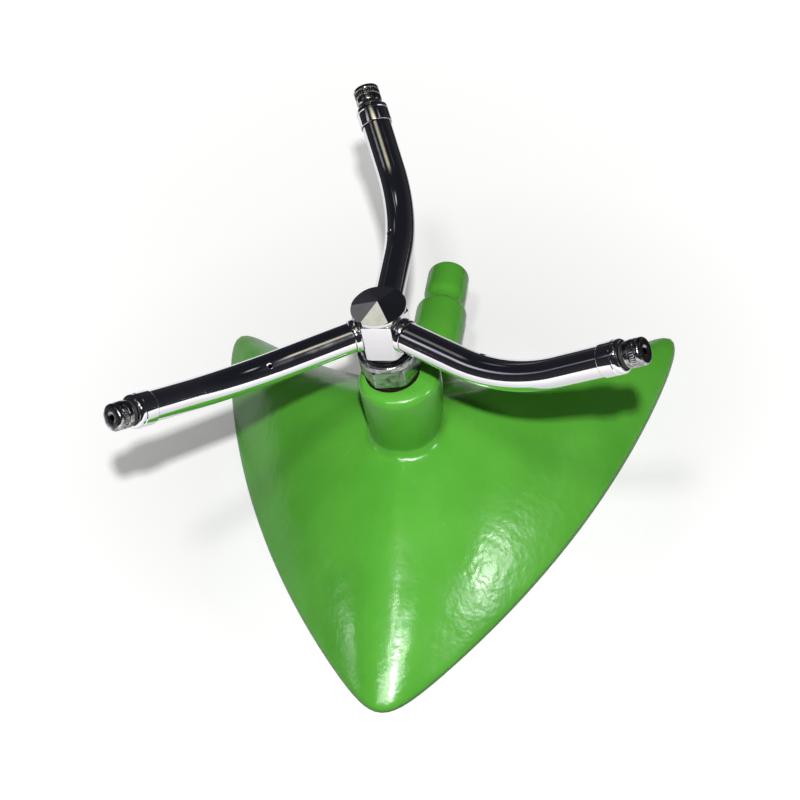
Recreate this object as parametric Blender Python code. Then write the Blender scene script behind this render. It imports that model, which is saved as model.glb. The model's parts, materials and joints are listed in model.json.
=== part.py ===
"""Three-arm rotary lawn sprinkler: a vaulted cast base with a hose tail, and a chromed rotor on a gland nut.

The model stands on its rim, +Z up, with the hose tail towards +Y. Its origin is the bottom centre of its box.
"""
import math

import bmesh
import bpy
from mathutils import Matrix, Vector

MM = 0.001
GAP = 0.3 * MM  # clearance between pieces that touch

# Base casting
EDGE_DISTANCE = 66.5 * MM  # from the spin axis to the middle of each of the three edges
SIDE_RADIUS = 411 * MM  # convex side edges
SIDE_FACING = math.radians(-28.4)  # direction in which the right side edge faces
BACK_RADIUS = 152 * MM  # concave back edge
CORNER_POWER = 9.4  # the higher, the sharper the three corners of the rim
CROWN_POWER = 3  # the same for the crown of the vault, where no ridge shows
LOOP_LEAN = 0.6  # how far the loops near the boss turn towards the corners
DOME_HEIGHT = 49 * MM
DOME_POWER = 1.9  # 2 is a parabola
NOSE_EASE = 0.07  # how much lower the ridge to the front corner runs, as a share of the vault's height
RIM_HEIGHT = 2.5 * MM
RIM_WIDTH = 5.0 * MM
ROOF_WALL = 4.5 * MM
RIM_POINTS = 80

# Boss on the base
BOSS_TOP = 80 * MM
BOSS_FOOT_RADIUS = 17 * MM
BOSS_TOP_RADIUS = 15.3 * MM
BOSS_FILLET = 5 * MM
BOSS_EDGE = 2 * MM
CHAMBER_DEPTH = 24 * MM
COLUMN_RADIUS = 11.8 * MM

# Hose tail, cast with the base
INLET_HEIGHT = 26 * MM
INLET_RADIUS = 11 * MM
INLET_LENGTH = 112 * MM
SHOULDER_AT = 86 * MM
NECK_RADIUS = 7.8 * MM
NECK_LENGTH = 4 * MM
BULB_RADIUS = 9.1 * MM
MOUTH_RADIUS = 6.8 * MM
WATERWAY_RADIUS = 5 * MM

# Gland nut and its gasket
GASKET_RADIUS = 10.9 * MM
GASKET_THICKNESS = 1.6 * MM
NUT_ACROSS_FLATS = 21 * MM
NUT_HEIGHT = 9.3 * MM
NUT_COLLAR_RADIUS = 12 * MM
NUT_COLLAR_HEIGHT = 3 * MM
SHANK_RADIUS = 10 * MM
SHANK_LENGTH = 12 * MM
NUT_TURN = math.radians(8)  # where the hexagon stops when it is tight

# Stem and the two washers that it turns on
STEM_RADIUS = 5 * MM
STEM_BORE_RADIUS = 3.2 * MM
STEM_COLLAR_RADIUS = 7.5 * MM
STEM_COLLAR_HEIGHT = 3 * MM
STEM_THREAD = 4.3 * MM
WASHER_RADIUS = 8.8 * MM
WASHER_THICKNESS = 1.9 * MM
STEM_WASHER_THICKNESS = 1.5 * MM

# Hub
HUB_ACROSS_FLATS = 20 * MM
HUB_HEIGHT = 18.3 * MM
ARM_AXIS_IN_HUB = 9.7 * MM  # above the hub's lower face
CAP_RADIUS = 10.9 * MM
CAP_EDGE = 1.3 * MM
CAP_BLANK_ACROSS_FLATS = 24 * MM  # of the hexagon that the cap is turned from
CAP_BLANK_RISE = 3.12 * MM  # of its point
CAP_PLUG = 3.2 * MM

# Arms
ARM_COUNT = 3
FIRST_ARM = math.radians(-30)
TUBE_RADIUS = 6 * MM
TUBE_BORE_RADIUS = 4.5 * MM
SPIGOT_RADIUS = 4.7 * MM
SPIGOT_BORE_RADIUS = 3.4 * MM
SPIGOT_LENGTH = 3.9 * MM
FERRULE_RADIUS = 6.6 * MM
FERRULE_LENGTH = 2.4 * MM
BEND_START = 38 * MM  # from the spin axis
BEND_RADIUS = 75 * MM
BEND_ANGLE = math.radians(33.4)
BEND_TILT = math.radians(51.2)  # of the bend's plane, up from the direction of turning
BEND_STEPS = 8
TUBE_STRAIGHT = 20.2 * MM  # past the bend
JET_HOLE_AT = 47 * MM
JET_HOLE_RADIUS = 0.9 * MM

# Nozzles
COLLAR_RADIUS = 6.6 * MM
COLLAR_LENGTH = 8.5 * MM
PLUG_RADIUS = 4.2 * MM
PLUG_LENGTH = 5 * MM
NECK_OUTER_RADIUS = 3.9 * MM
NECK_REACH = 6.2 * MM
NOZZLE_BORE_RADIUS = 2.5 * MM
SEAL_RADIUS = 4.9 * MM
SEAL_THICKNESS = 1.0 * MM
END_CAP_RADIUS = 5.4 * MM
END_CAP_LENGTH = 7.6 * MM
END_CAP_WALL = 1.6 * MM
END_CAP_GROOVE = 0.4 * MM
END_CAP_GROOVES_AT = (0.35, 0.6)  # shares of its length
ORIFICE_RADIUS = 1.3 * MM

ROUND_STEPS = 32
INLET_STEPS = 26
SMALL_STEPS = 20  # round the nozzles, ferrules and stem washers

# Heights along the spin axis, built up from the boss
NUT_BOTTOM = BOSS_TOP + GASKET_THICKNESS + 2 * GAP
NUT_TOP = NUT_BOTTOM + NUT_HEIGHT + NUT_COLLAR_HEIGHT
HUB_BOTTOM = NUT_TOP + WASHER_THICKNESS + 2 * GAP
ARM_AXIS = HUB_BOTTOM + ARM_AXIS_IN_HUB
HUB_TOP = HUB_BOTTOM + HUB_HEIGHT
SHANK_BOTTOM = NUT_BOTTOM - SHANK_LENGTH
CHAMBER_FLOOR = BOSS_TOP - CHAMBER_DEPTH
STEM_COLLAR_TOP = SHANK_BOTTOM - STEM_WASHER_THICKNESS - 2 * GAP
HUB_FLAT = HUB_ACROSS_FLATS / 2
ARM_START = HUB_FLAT + FERRULE_LENGTH + 2 * GAP


def clear_scene():
    for old in list(bpy.data.objects):
        bpy.data.objects.remove(old)


def make_material(name, colour, metallic, roughness):
    material = bpy.data.materials.new(name)
    material.use_nodes = True
    shader = material.node_tree.nodes["Principled BSDF"]
    shader.inputs["Base Color"].default_value = (*colour, 1)
    shader.inputs["Metallic"].default_value = metallic
    shader.inputs["Roughness"].default_value = roughness
    material.diffuse_color = (*colour, 1)
    return material


def make_empty(name, location, parent=None):
    empty = bpy.data.objects.new(name, None)
    empty.location = location
    empty.parent = parent
    bpy.context.collection.objects.link(empty)
    return empty


def make_object(name, bm, material=None, parent=None):
    bmesh.ops.recalc_face_normals(bm, faces=bm.faces)
    mesh = bpy.data.meshes.new(name)
    bm.to_mesh(mesh)
    bm.free()
    mesh.shade_smooth()
    mesh.set_sharp_from_angle(angle=math.radians(35))
    if material:
        mesh.materials.append(material)
    obj = bpy.data.objects.new(name, mesh)
    obj.parent = parent
    bpy.context.collection.objects.link(obj)
    return obj


def make_tool(name, bm, parent):
    tool = make_object(name, bm, parent=parent)
    tool.hide_render = True
    tool.display_type = "WIRE"
    return tool


def boolean(obj, tool, operation):
    cut = obj.modifiers.new(tool.name, "BOOLEAN")
    cut.object = tool
    cut.operation = operation
    cut.solver = "EXACT"


def turned(profile, closed=True, steps=ROUND_STEPS):
    """A profile of (radius, height) points, turned about Z. A closed one leaves a bore."""
    bm = bmesh.new()
    points = [bm.verts.new((radius, 0, height)) for radius, height in profile]
    pairs = list(zip(points, points[1:] + points[:1]))
    if not closed:
        pairs.pop()
    edges = [bm.edges.new(pair) for pair in pairs]
    bmesh.ops.spin(
        bm, geom=points + edges, cent=(0, 0, 0), axis=(0, 0, 1), dvec=(0, 0, 0),
        angle=2 * math.pi, steps=steps, use_merge=True, use_duplicate=False,
    )
    bmesh.ops.remove_doubles(bm, verts=bm.verts, dist=0.001 * MM)
    return bm


def rod(radius, bottom, top, steps=ROUND_STEPS):
    return turned([(0, bottom), (radius, bottom), (radius, top), (0, top)], closed=False, steps=steps)


def ring(inner, outer, bottom, top, steps=SMALL_STEPS):
    return turned([(inner, top), (outer, top), (outer, bottom), (inner, bottom)], steps=steps)


def hexagon(across_flats, bottom, top):
    """A hexagonal prism with a flat facing -Y."""
    bm = bmesh.new()
    bmesh.ops.create_cone(
        bm, cap_ends=True, segments=6, radius1=across_flats / math.sqrt(3), radius2=across_flats / math.sqrt(3),
        depth=top - bottom, matrix=Matrix.Translation((0, 0, (top + bottom) / 2)),
    )
    bmesh.ops.rotate(bm, verts=bm.verts, cent=(0, 0, 0), matrix=Matrix.Rotation(first_corner_turn(bm), 3, "Z"))
    return bm


def first_corner_turn(bm):
    """The turn that brings a hexagon's corner to +X, so that its flats face ±Y."""
    corner = bm.verts[:][0].co
    return -math.atan2(corner.y, corner.x)


def arc(centre, radius, start, end, steps):
    """Points on a quarter-like arc of a (radius, height) profile, in degrees."""
    points = []
    for i in range(steps + 1):
        angle = math.radians(start + (end - start) * i / steps)
        points.append((centre[0] + radius * math.cos(angle), centre[1] + radius * math.sin(angle)))
    return points


def edge_shares(x, y, distance):
    """How far a point is from the spin axis towards each of the three edge arcs: 0 at the axis, 1 on the arc."""
    centre_distance = SIDE_RADIUS - EDGE_DISTANCE
    shares = []
    for mirror in (1, -1):
        centre_x = -mirror * centre_distance * math.cos(SIDE_FACING)
        centre_y = -centre_distance * math.sin(SIDE_FACING)
        shares.append((math.hypot(x - centre_x, y - centre_y) - centre_distance) / distance)
    back_centre = EDGE_DISTANCE + BACK_RADIUS
    shares.append((back_centre - math.hypot(x, y - back_centre)) / distance)
    return [max(0.0, share) for share in shares]


def edge_nearness(x, y, distance):
    """0 on the spin axis and 1 on the outline, which the three arcs bound and CORNER_POWER rounds."""
    return sum(share ** CORNER_POWER for share in edge_shares(x, y, distance)) ** (1 / CORNER_POWER)


def vault(x, y, distance):
    """1 over the spin axis and 0 on the outline, with softer corners towards the crown and a low front ridge."""
    nearness = edge_nearness(x, y, distance)
    power = CROWN_POWER + (CORNER_POWER - CROWN_POWER) * nearness ** 3
    soft = sum(share ** power for share in edge_shares(x, y, distance)) ** (1 / power)
    ahead = max(0.0, -y) / max(math.hypot(x, y), GAP)
    eased = NOSE_EASE * 4 * nearness * (1 - nearness) * ahead ** 6
    return max(0.0, 1 - soft ** DOME_POWER - eased)


def outline_radius(angle, distance):
    near, far = 0.0, 3 * EDGE_DISTANCE
    for _ in range(40):
        middle = (near + far) / 2
        if edge_nearness(middle * math.cos(angle), middle * math.sin(angle), distance) < 1:
            near = middle
        else:
            far = middle
    return near


def outline():
    """RIM_POINTS points round the rim, evenly spaced along it, from the front tip."""
    fine = 1440
    dense = []
    for i in range(fine + 1):
        angle = -math.pi / 2 + 2 * math.pi * i / fine
        radius = outline_radius(angle, EDGE_DISTANCE)
        dense.append((radius * math.cos(angle), radius * math.sin(angle)))
    travelled = [0.0]
    for (x0, y0), (x1, y1) in zip(dense, dense[1:]):
        travelled.append(travelled[-1] + math.hypot(x1 - x0, y1 - y0))
    points, i = [], 0
    for k in range(RIM_POINTS):
        target = travelled[-1] * k / RIM_POINTS
        while travelled[i + 1] < target:
            i += 1
        share = (target - travelled[i]) / (travelled[i + 1] - travelled[i])
        (x0, y0), (x1, y1) = dense[i], dense[i + 1]
        points.append((x0 + (x1 - x0) * share, y0 + (y1 - y0) * share))
    return points


def inset(rim, distance):
    """The hollow's outline, with each point on the same ray as the rim's."""
    points = []
    for x, y in rim:
        angle = math.atan2(y, x)
        radius = outline_radius(angle, distance)
        points.append((radius * math.cos(angle), radius * math.sin(angle)))
    return points


def dome_height(x, y):
    height = RIM_HEIGHT + (DOME_HEIGHT - RIM_HEIGHT) * vault(x, y, EDGE_DISTANCE)
    short = BOSS_FOOT_RADIUS + BOSS_FILLET - math.hypot(x, y)
    if short > 0:
        short = min(short, BOSS_FILLET)
        height += BOSS_FILLET - math.sqrt(BOSS_FILLET ** 2 - short ** 2)
    return height


def hollow_height(x, y):
    return (DOME_HEIGHT - ROOF_WALL) * vault(x, y, EDGE_DISTANCE - RIM_WIDTH)


def spread(outer, radius, share):
    """A loop of plan points between a circle of this radius (share 0) and the outer loop (share 1)."""
    loop = []
    for k, (x, y) in enumerate(outer):
        even = -math.pi / 2 + 2 * math.pi * k / len(outer)
        turn = math.atan2(y, x) - even
        turn -= 2 * math.pi * round(turn / (2 * math.pi))
        angle = even + LOOP_LEAN * turn
        inner_x, inner_y = radius * math.cos(angle), radius * math.sin(angle)
        loop.append((inner_x + (x - inner_x) * share, inner_y + (y - inner_y) * share))
    return loop


def casting_shell():
    """The vaulted shell, its boss and its hollow, as one loft of loops from the boss top down and back up inside."""
    rim = outline()
    hollow_rim = inset(rim, EDGE_DISTANCE - RIM_WIDTH)
    loops = []
    for radius, height in arc((BOSS_TOP_RADIUS - BOSS_EDGE, BOSS_TOP - BOSS_EDGE), BOSS_EDGE, 90, 0, 3):
        loops.append([(x, y, height) for x, y in spread(rim, radius, 0)])
    shares = [0, 0.03, 0.07, 0.15, 0.28, 0.42, 0.56, 0.69, 0.8, 0.9, 0.96, 1]
    for share in shares:
        loops.append([(x, y, dome_height(x, y)) for x, y in spread(rim, BOSS_FOOT_RADIUS, share)])
    loops.append([(x, y, 0.0) for x, y in rim])
    for share in (1, 0.88, 0.7, 0.5, 0.3, 0):
        loops.append([(x, y, hollow_height(x, y)) for x, y in spread(hollow_rim, COLUMN_RADIUS / 2, share)])
    bm = bmesh.new()
    rings = [[bm.verts.new(point) for point in loop] for loop in loops]
    for upper, lower in zip(rings, rings[1:]):
        for k in range(RIM_POINTS):
            following = (k + 1) % RIM_POINTS
            bm.faces.new((upper[k], lower[k], lower[following], upper[following]))
    bm.faces.new(rings[0])
    bm.faces.new(rings[-1])
    bmesh.ops.triangulate(bm, faces=[face for face in bm.faces if len(face.verts) > 4])
    return bm


def inlet_profile():
    """The hose tail from the column to its mouth: body, rounded shoulder, neck and bulb."""
    shoulder = INLET_RADIUS - NECK_RADIUS
    round_end = BULB_RADIUS - MOUTH_RADIUS
    neck_end = SHOULDER_AT + shoulder + NECK_LENGTH
    profile = [(0, 0), (INLET_RADIUS, 0)]
    profile += arc((INLET_RADIUS - shoulder, SHOULDER_AT), shoulder, 0, 90, 5)
    profile += [(NECK_RADIUS, neck_end), (BULB_RADIUS, neck_end + 3 * (BULB_RADIUS - NECK_RADIUS))]
    profile += arc((MOUTH_RADIUS, INLET_LENGTH - round_end), round_end, 0, 90, 5)
    profile.append((0, INLET_LENGTH))
    return profile


def lay_along_y(obj, height):
    obj.location = (0, 0, height)
    obj.rotation_euler = (math.radians(-90), 0, 0)


def make_base(parent, enamel):
    casting = make_object("base_casting", casting_shell(), enamel, parent)
    column = make_tool("column", rod(COLUMN_RADIUS, INLET_HEIGHT - COLUMN_RADIUS, DOME_HEIGHT), parent)
    boolean(casting, column, "UNION")
    inlet = make_tool("inlet", turned(inlet_profile(), closed=False, steps=INLET_STEPS), parent)
    lay_along_y(inlet, INLET_HEIGHT)
    boolean(casting, inlet, "UNION")
    chamber = make_tool("chamber", rod(SHANK_RADIUS + GAP, CHAMBER_FLOOR, BOSS_TOP + BOSS_EDGE), parent)
    boolean(casting, chamber, "DIFFERENCE")
    riser = make_tool("riser", rod(WATERWAY_RADIUS, INLET_HEIGHT, CHAMBER_FLOOR + BOSS_EDGE, 24), parent)
    boolean(casting, riser, "DIFFERENCE")
    waterway = make_tool("waterway", rod(WATERWAY_RADIUS + GAP, -WATERWAY_RADIUS, INLET_LENGTH + BOSS_EDGE, 28), parent)
    lay_along_y(waterway, INLET_HEIGHT)
    boolean(casting, waterway, "DIFFERENCE")


def make_gland(parent, chrome, fibre, nylon):
    gasket_top = BOSS_TOP + GAP + GASKET_THICKNESS
    gasket = ring(SHANK_RADIUS + GAP, GASKET_RADIUS, BOSS_TOP + GAP, gasket_top, ROUND_STEPS)
    make_object("nut_gasket", gasket, fibre, parent)

    bar = hexagon(NUT_ACROSS_FLATS, NUT_BOTTOM, NUT_BOTTOM + NUT_HEIGHT)
    bmesh.ops.rotate(bar, verts=bar.verts, cent=(0, 0, 0), matrix=Matrix.Rotation(NUT_TURN, 3, "Z"))
    nut = make_object("bearing_nut", bar, chrome, parent)
    edge = NUT_COLLAR_HEIGHT / 4
    collar_bottom = NUT_TOP - NUT_COLLAR_HEIGHT - edge
    barrel = [
        (0, SHANK_BOTTOM), (SHANK_RADIUS - edge, SHANK_BOTTOM), (SHANK_RADIUS, SHANK_BOTTOM + edge),
        (SHANK_RADIUS, collar_bottom), (NUT_COLLAR_RADIUS - edge, collar_bottom),
        (NUT_COLLAR_RADIUS, collar_bottom + edge), (NUT_COLLAR_RADIUS, NUT_TOP - edge),
        (NUT_COLLAR_RADIUS - edge, NUT_TOP), (0, NUT_TOP),
    ]
    boolean(nut, make_tool("nut_barrel", turned(barrel, closed=False), parent), "UNION")
    bore = rod(STEM_RADIUS + GAP, SHANK_BOTTOM - edge, NUT_TOP + edge)
    boolean(nut, make_tool("nut_bore", bore, parent), "DIFFERENCE")

    washer = ring(STEM_RADIUS + GAP, WASHER_RADIUS, NUT_TOP + GAP, NUT_TOP + GAP + WASHER_THICKNESS, ROUND_STEPS)
    make_object("thrust_washer", washer, nylon, parent)


def make_stem(rotor, brass, nylon):
    """The stem screws into the hub and hangs by its collar below the gland nut."""
    top = HUB_BOTTOM + STEM_THREAD - ARM_AXIS
    collar_top = STEM_COLLAR_TOP - ARM_AXIS
    collar_bottom = collar_top - STEM_COLLAR_HEIGHT
    edge = STEM_COLLAR_HEIGHT / 6
    profile = [
        (STEM_BORE_RADIUS, top), (STEM_RADIUS - edge, top), (STEM_RADIUS, top - edge),
        (STEM_RADIUS, collar_top), (STEM_COLLAR_RADIUS - edge, collar_top),
        (STEM_COLLAR_RADIUS, collar_top - edge), (STEM_COLLAR_RADIUS, collar_bottom + edge),
        (STEM_COLLAR_RADIUS - edge, collar_bottom), (STEM_BORE_RADIUS, collar_bottom),
    ]
    make_object("stem", turned(profile, steps=24), brass, rotor)
    bottom = collar_top + GAP
    washer = ring(STEM_RADIUS + GAP, STEM_COLLAR_RADIUS, bottom, bottom + STEM_WASHER_THICKNESS)
    make_object("stem_washer", washer, nylon, rotor)


def make_hub(rotor, chrome):
    bottom, top = HUB_BOTTOM - ARM_AXIS, HUB_TOP - ARM_AXIS
    hub = make_object("hub", hexagon(HUB_ACROSS_FLATS, bottom, top), chrome, rotor)
    bore = rod(STEM_RADIUS + GAP, bottom - CAP_EDGE, top + CAP_EDGE)
    boolean(hub, make_tool("hub_bore", bore, rotor), "DIFFERENCE")
    for index in range(ARM_COUNT):
        socket = make_tool(f"socket_{index + 1}", rod(SPIGOT_RADIUS + GAP, 0, HUB_ACROSS_FLATS, 24), rotor)
        angle = FIRST_ARM + index * 2 * math.pi / ARM_COUNT
        socket.rotation_euler = (0, math.radians(90), angle)
        boolean(hub, socket, "DIFFERENCE")

    seat = top + GAP
    cap = hexagon(CAP_BLANK_ACROSS_FLATS, seat, seat + CAP_EDGE)
    upper = [face for face in cap.faces if face.normal.z > 0.9]
    apex = bmesh.ops.poke(cap, faces=upper)["verts"]
    bmesh.ops.translate(cap, verts=apex, vec=(0, 0, CAP_BLANK_RISE))
    hub_cap = make_object("hub_cap", cap, chrome, rotor)
    edge = CAP_EDGE / 3
    turning = [
        (0, seat - CAP_EDGE), (CAP_RADIUS, seat - CAP_EDGE), (CAP_RADIUS, seat + CAP_EDGE + edge),
        (0, seat + CAP_EDGE + edge + 3 * CAP_RADIUS),
    ]
    boolean(hub_cap, make_tool("cap_turning", turned(turning, closed=False), rotor), "INTERSECT")
    plug = rod(STEM_RADIUS, seat - GAP - CAP_PLUG, seat + CAP_EDGE / 2)
    boolean(hub_cap, make_tool("cap_plug", plug, rotor), "UNION")


class ArmPath:
    """The centre line of one arm, from the spin axis outwards, in the rotor's frame."""

    def __init__(self, angle):
        self.outward = Vector((math.cos(angle), math.sin(angle), 0))
        turning = Vector((-math.sin(angle), math.cos(angle), 0))
        self.lean = math.cos(BEND_TILT) * turning + math.sin(BEND_TILT) * Vector((0, 0, 1))
        self.across = self.outward.cross(self.lean)
        self.bend_end = BEND_START + BEND_RADIUS * BEND_ANGLE

    def direction(self, travel):
        turn = min(max(0.0, travel - BEND_START) / BEND_RADIUS, BEND_ANGLE)
        return math.cos(turn) * self.outward + math.sin(turn) * self.lean

    def point(self, travel):
        turn = min(max(0.0, travel - BEND_START) / BEND_RADIUS, BEND_ANGLE)
        along = min(travel, BEND_START) + BEND_RADIUS * math.sin(turn)
        aside = BEND_RADIUS * (1 - math.cos(turn))
        beyond = max(0.0, travel - self.bend_end)
        return along * self.outward + aside * self.lean + beyond * self.direction(travel)

    def frame(self, travel):
        """A matrix whose Z runs along the arm at this point."""
        ahead = self.direction(travel)
        side = ahead.cross(self.across)
        axes = Matrix((side, self.across, ahead)).transposed()
        return Matrix.Translation(self.point(travel)) @ axes.to_4x4()


def arm_stations(path):
    """(travel, radius) round the tube's wall: out along the outside and back along the bore."""
    tube_end = path.bend_end + TUBE_STRAIGHT
    spigot_start = ARM_START - FERRULE_LENGTH - 2 * GAP - SPIGOT_LENGTH
    bend = [BEND_START + i / BEND_STEPS * (path.bend_end - BEND_START) for i in range(BEND_STEPS + 1)]
    outside = [(spigot_start, SPIGOT_RADIUS), (ARM_START, SPIGOT_RADIUS), (ARM_START, TUBE_RADIUS)]
    outside += [(travel, TUBE_RADIUS) for travel in bend]
    outside.append((tube_end, TUBE_RADIUS))
    bore = [(tube_end, TUBE_BORE_RADIUS)]
    bore += [(travel, TUBE_BORE_RADIUS) for travel in reversed(bend[::2])]
    bore_start = ARM_START + TUBE_RADIUS / 2
    bore += [(bore_start, TUBE_BORE_RADIUS), (bore_start - GAP, SPIGOT_BORE_RADIUS)]
    bore.append((spigot_start, SPIGOT_BORE_RADIUS))
    return outside + bore


def swept_tube(path, stations, sides=20):
    bm = bmesh.new()
    rings = []
    for travel, radius in stations:
        circle = bmesh.ops.create_circle(bm, segments=sides, radius=radius, matrix=path.frame(travel))
        rings.append(circle["verts"])
    for ring_a, ring_b in zip(rings, rings[1:] + rings[:1]):
        for k in range(sides):
            following = (k + 1) % sides
            bm.faces.new((ring_a[k], ring_a[following], ring_b[following], ring_b[k]))
    return bm


def make_arm(rotor, number, chrome, rubber):
    angle = FIRST_ARM + (number - 1) * 2 * math.pi / ARM_COUNT
    path = ArmPath(angle)

    edge = FERRULE_LENGTH / 5
    profile = [
        (SPIGOT_RADIUS + GAP, FERRULE_LENGTH), (FERRULE_RADIUS - edge, FERRULE_LENGTH),
        (FERRULE_RADIUS, FERRULE_LENGTH - edge), (FERRULE_RADIUS, 0), (SPIGOT_RADIUS + GAP, 0),
    ]
    ferrule = turned(profile, steps=SMALL_STEPS)
    obj = make_object(f"arm_ferrule_{number}", ferrule, chrome, rotor)
    obj.matrix_local = path.frame(HUB_FLAT + GAP)

    tube = make_object(f"arm_tube_{number}", swept_tube(path, arm_stations(path)), chrome, rotor)
    hole = make_tool(f"jet_hole_{number}", rod(JET_HOLE_RADIUS, 0, 2 * TUBE_RADIUS, 10), rotor)
    hole_frame = Matrix((path.across, path.outward, path.lean)).transposed().to_4x4()
    hole.matrix_local = Matrix.Translation(path.point(JET_HOLE_AT)) @ hole_frame
    boolean(tube, hole, "DIFFERENCE")

    seat = path.bend_end + TUBE_STRAIGHT + GAP
    make_nozzle(rotor, number, path.frame(seat), chrome, rubber)


def make_nozzle(rotor, number, seat, chrome, rubber):
    """A plug in the tube's end, a collar, and a threaded neck that carries the seal and the cap."""
    edge = COLLAR_LENGTH / 12
    neck_end = COLLAR_LENGTH + NECK_REACH
    profile = [
        (NOZZLE_BORE_RADIUS, neck_end), (NECK_OUTER_RADIUS, neck_end), (NECK_OUTER_RADIUS, COLLAR_LENGTH),
        (COLLAR_RADIUS - 2 * edge, COLLAR_LENGTH), (COLLAR_RADIUS, COLLAR_LENGTH - 2 * edge),
        (COLLAR_RADIUS, edge / 2), (COLLAR_RADIUS - edge / 2, 0), (PLUG_RADIUS, 0),
        (PLUG_RADIUS, -PLUG_LENGTH), (NOZZLE_BORE_RADIUS, -PLUG_LENGTH),
    ]
    body = make_object(f"nozzle_body_{number}", turned(profile, steps=SMALL_STEPS), chrome, rotor)
    body.matrix_local = seat

    bottom = COLLAR_LENGTH + GAP
    seal = turned(
        arc(((NECK_OUTER_RADIUS + GAP + SEAL_RADIUS) / 2, bottom + SEAL_THICKNESS / 2), SEAL_THICKNESS / 2, 0, 300, 5),
        steps=SMALL_STEPS,
    )
    make_object(f"nozzle_seal_{number}", seal, rubber, rotor).matrix_local = seat

    start = bottom + SEAL_THICKNESS + GAP
    end = start + END_CAP_LENGTH
    inner_end = end - END_CAP_WALL
    bore = NECK_OUTER_RADIUS + GAP
    outside = [(END_CAP_RADIUS - edge, start), (END_CAP_RADIUS, start + edge)]
    for share in END_CAP_GROOVES_AT:
        groove = start + END_CAP_LENGTH * share
        outside += [(END_CAP_RADIUS, groove), (END_CAP_RADIUS - END_CAP_GROOVE, groove + END_CAP_GROOVE)]
        outside.append((END_CAP_RADIUS, groove + 2 * END_CAP_GROOVE))
    outside += arc((END_CAP_RADIUS - 2 * edge, end - 2 * edge), 2 * edge, 0, 90, 3)
    profile = [(bore, start)] + outside + [(ORIFICE_RADIUS, end), (ORIFICE_RADIUS, inner_end), (bore, inner_end)]
    cap = make_object(f"nozzle_cap_{number}", turned(profile, steps=SMALL_STEPS), chrome, rotor)
    cap.matrix_local = seat


def stand_on_box_centre(root):
    """Moves the whole model so that the bottom centre of its box is the origin."""
    bpy.context.view_layer.update()
    depsgraph = bpy.context.evaluated_depsgraph_get()
    corners = []
    for obj in bpy.data.objects:
        if obj.type == "MESH" and not obj.hide_render:
            shape = obj.evaluated_get(depsgraph)
            corners += [shape.matrix_world @ Vector(corner) for corner in shape.bound_box]
    low = [min(corner[axis] for corner in corners) for axis in range(3)]
    high = [max(corner[axis] for corner in corners) for axis in range(3)]
    root.location = (-(low[0] + high[0]) / 2, -(low[1] + high[1]) / 2, -low[2])


def main():
    clear_scene()
    enamel = make_material("green_enamel", (0.10, 0.45, 0.05), 0.0, 0.15)
    chrome = make_material("chrome", (0.80, 0.80, 0.82), 1.0, 0.06)
    brass = make_material("brass", (0.72, 0.55, 0.25), 1.0, 0.25)
    fibre = make_material("gasket_fibre", (0.06, 0.03, 0.02), 0.0, 0.8)
    nylon = make_material("black_nylon", (0.03, 0.03, 0.03), 0.0, 0.45)
    rubber = make_material("seal_rubber", (0.02, 0.02, 0.02), 0.0, 0.6)

    root = make_empty("sprinkler", (0, 0, 0))
    rotor = make_empty("rotor", (0, 0, ARM_AXIS), root)
    make_base(root, enamel)
    make_gland(root, chrome, fibre, nylon)
    make_stem(rotor, brass, nylon)
    make_hub(rotor, chrome)
    for number in range(1, ARM_COUNT + 1):
        make_arm(rotor, number, chrome, rubber)
    stand_on_box_centre(root)


main()
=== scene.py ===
"""A three-arm rotary lawn sprinkler: a chromed rotor on a gland nut, over a green cast base with a hose tail."""
import json
import math

import bpy
import numpy as np
from mathutils import Matrix, Vector


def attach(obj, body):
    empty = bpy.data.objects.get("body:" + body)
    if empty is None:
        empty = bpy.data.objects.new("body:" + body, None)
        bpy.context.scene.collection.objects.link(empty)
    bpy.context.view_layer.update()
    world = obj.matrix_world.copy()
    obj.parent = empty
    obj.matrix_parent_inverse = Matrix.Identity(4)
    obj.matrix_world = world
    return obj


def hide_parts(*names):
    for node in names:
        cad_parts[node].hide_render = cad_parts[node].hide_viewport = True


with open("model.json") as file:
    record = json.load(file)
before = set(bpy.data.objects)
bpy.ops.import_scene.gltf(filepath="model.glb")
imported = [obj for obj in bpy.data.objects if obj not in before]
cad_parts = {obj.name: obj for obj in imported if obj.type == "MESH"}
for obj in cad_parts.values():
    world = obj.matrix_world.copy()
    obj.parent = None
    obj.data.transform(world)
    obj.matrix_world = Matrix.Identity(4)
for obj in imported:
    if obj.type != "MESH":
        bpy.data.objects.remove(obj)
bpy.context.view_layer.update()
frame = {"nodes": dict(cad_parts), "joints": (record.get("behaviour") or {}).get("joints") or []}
bpy.ops.object.select_all(action="DESELECT")


# Base casting: one sand casting, a thin vault on three curved edges, with the hose tail behind and on its crown the
# boss for the gland nut, which widens and shifts slightly to the right towards its top. The casting is dipped in
# thick green enamel, which keeps some of the sand's unevenness.
MM = 0.001
SPIN_AXIS = Vector(frame["joints"][0]["pos_m"])
ON_AXIS = Matrix.Translation((SPIN_AXIS.x, SPIN_AXIS.y, 0))
EDGE_DISTANCE = 66.45 * MM
SIDE_RADIUS = 411 * MM
SIDE_FACING = math.radians(-28.4)
BACK_RADIUS = 152 * MM
CORNER_POWER = 9.4
CROWN_POWER = 3
LOOP_LEAN = 0.6
DOME_POWER = 1.9
NOSE_EASE = 0.07
RIM_HEIGHT = 2.5 * MM
RIM_WIDTH = 5 * MM
RIM_ROUND = 1.1 * MM
RIM_POINTS = 240
FOOT_ROUND = 0.6 * MM
FOOT_SHARE = 0.12
DOME_HEIGHT = 49 * MM
ROOF_WALL = 4.5 * MM
FILLET_LOOPS = 0.1 * np.linspace(0, 1, 11) ** 2
DOME_LOOPS = np.linspace(0.12, 0.978, 44)
HOLLOW_SHOULDER = 0.98
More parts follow.
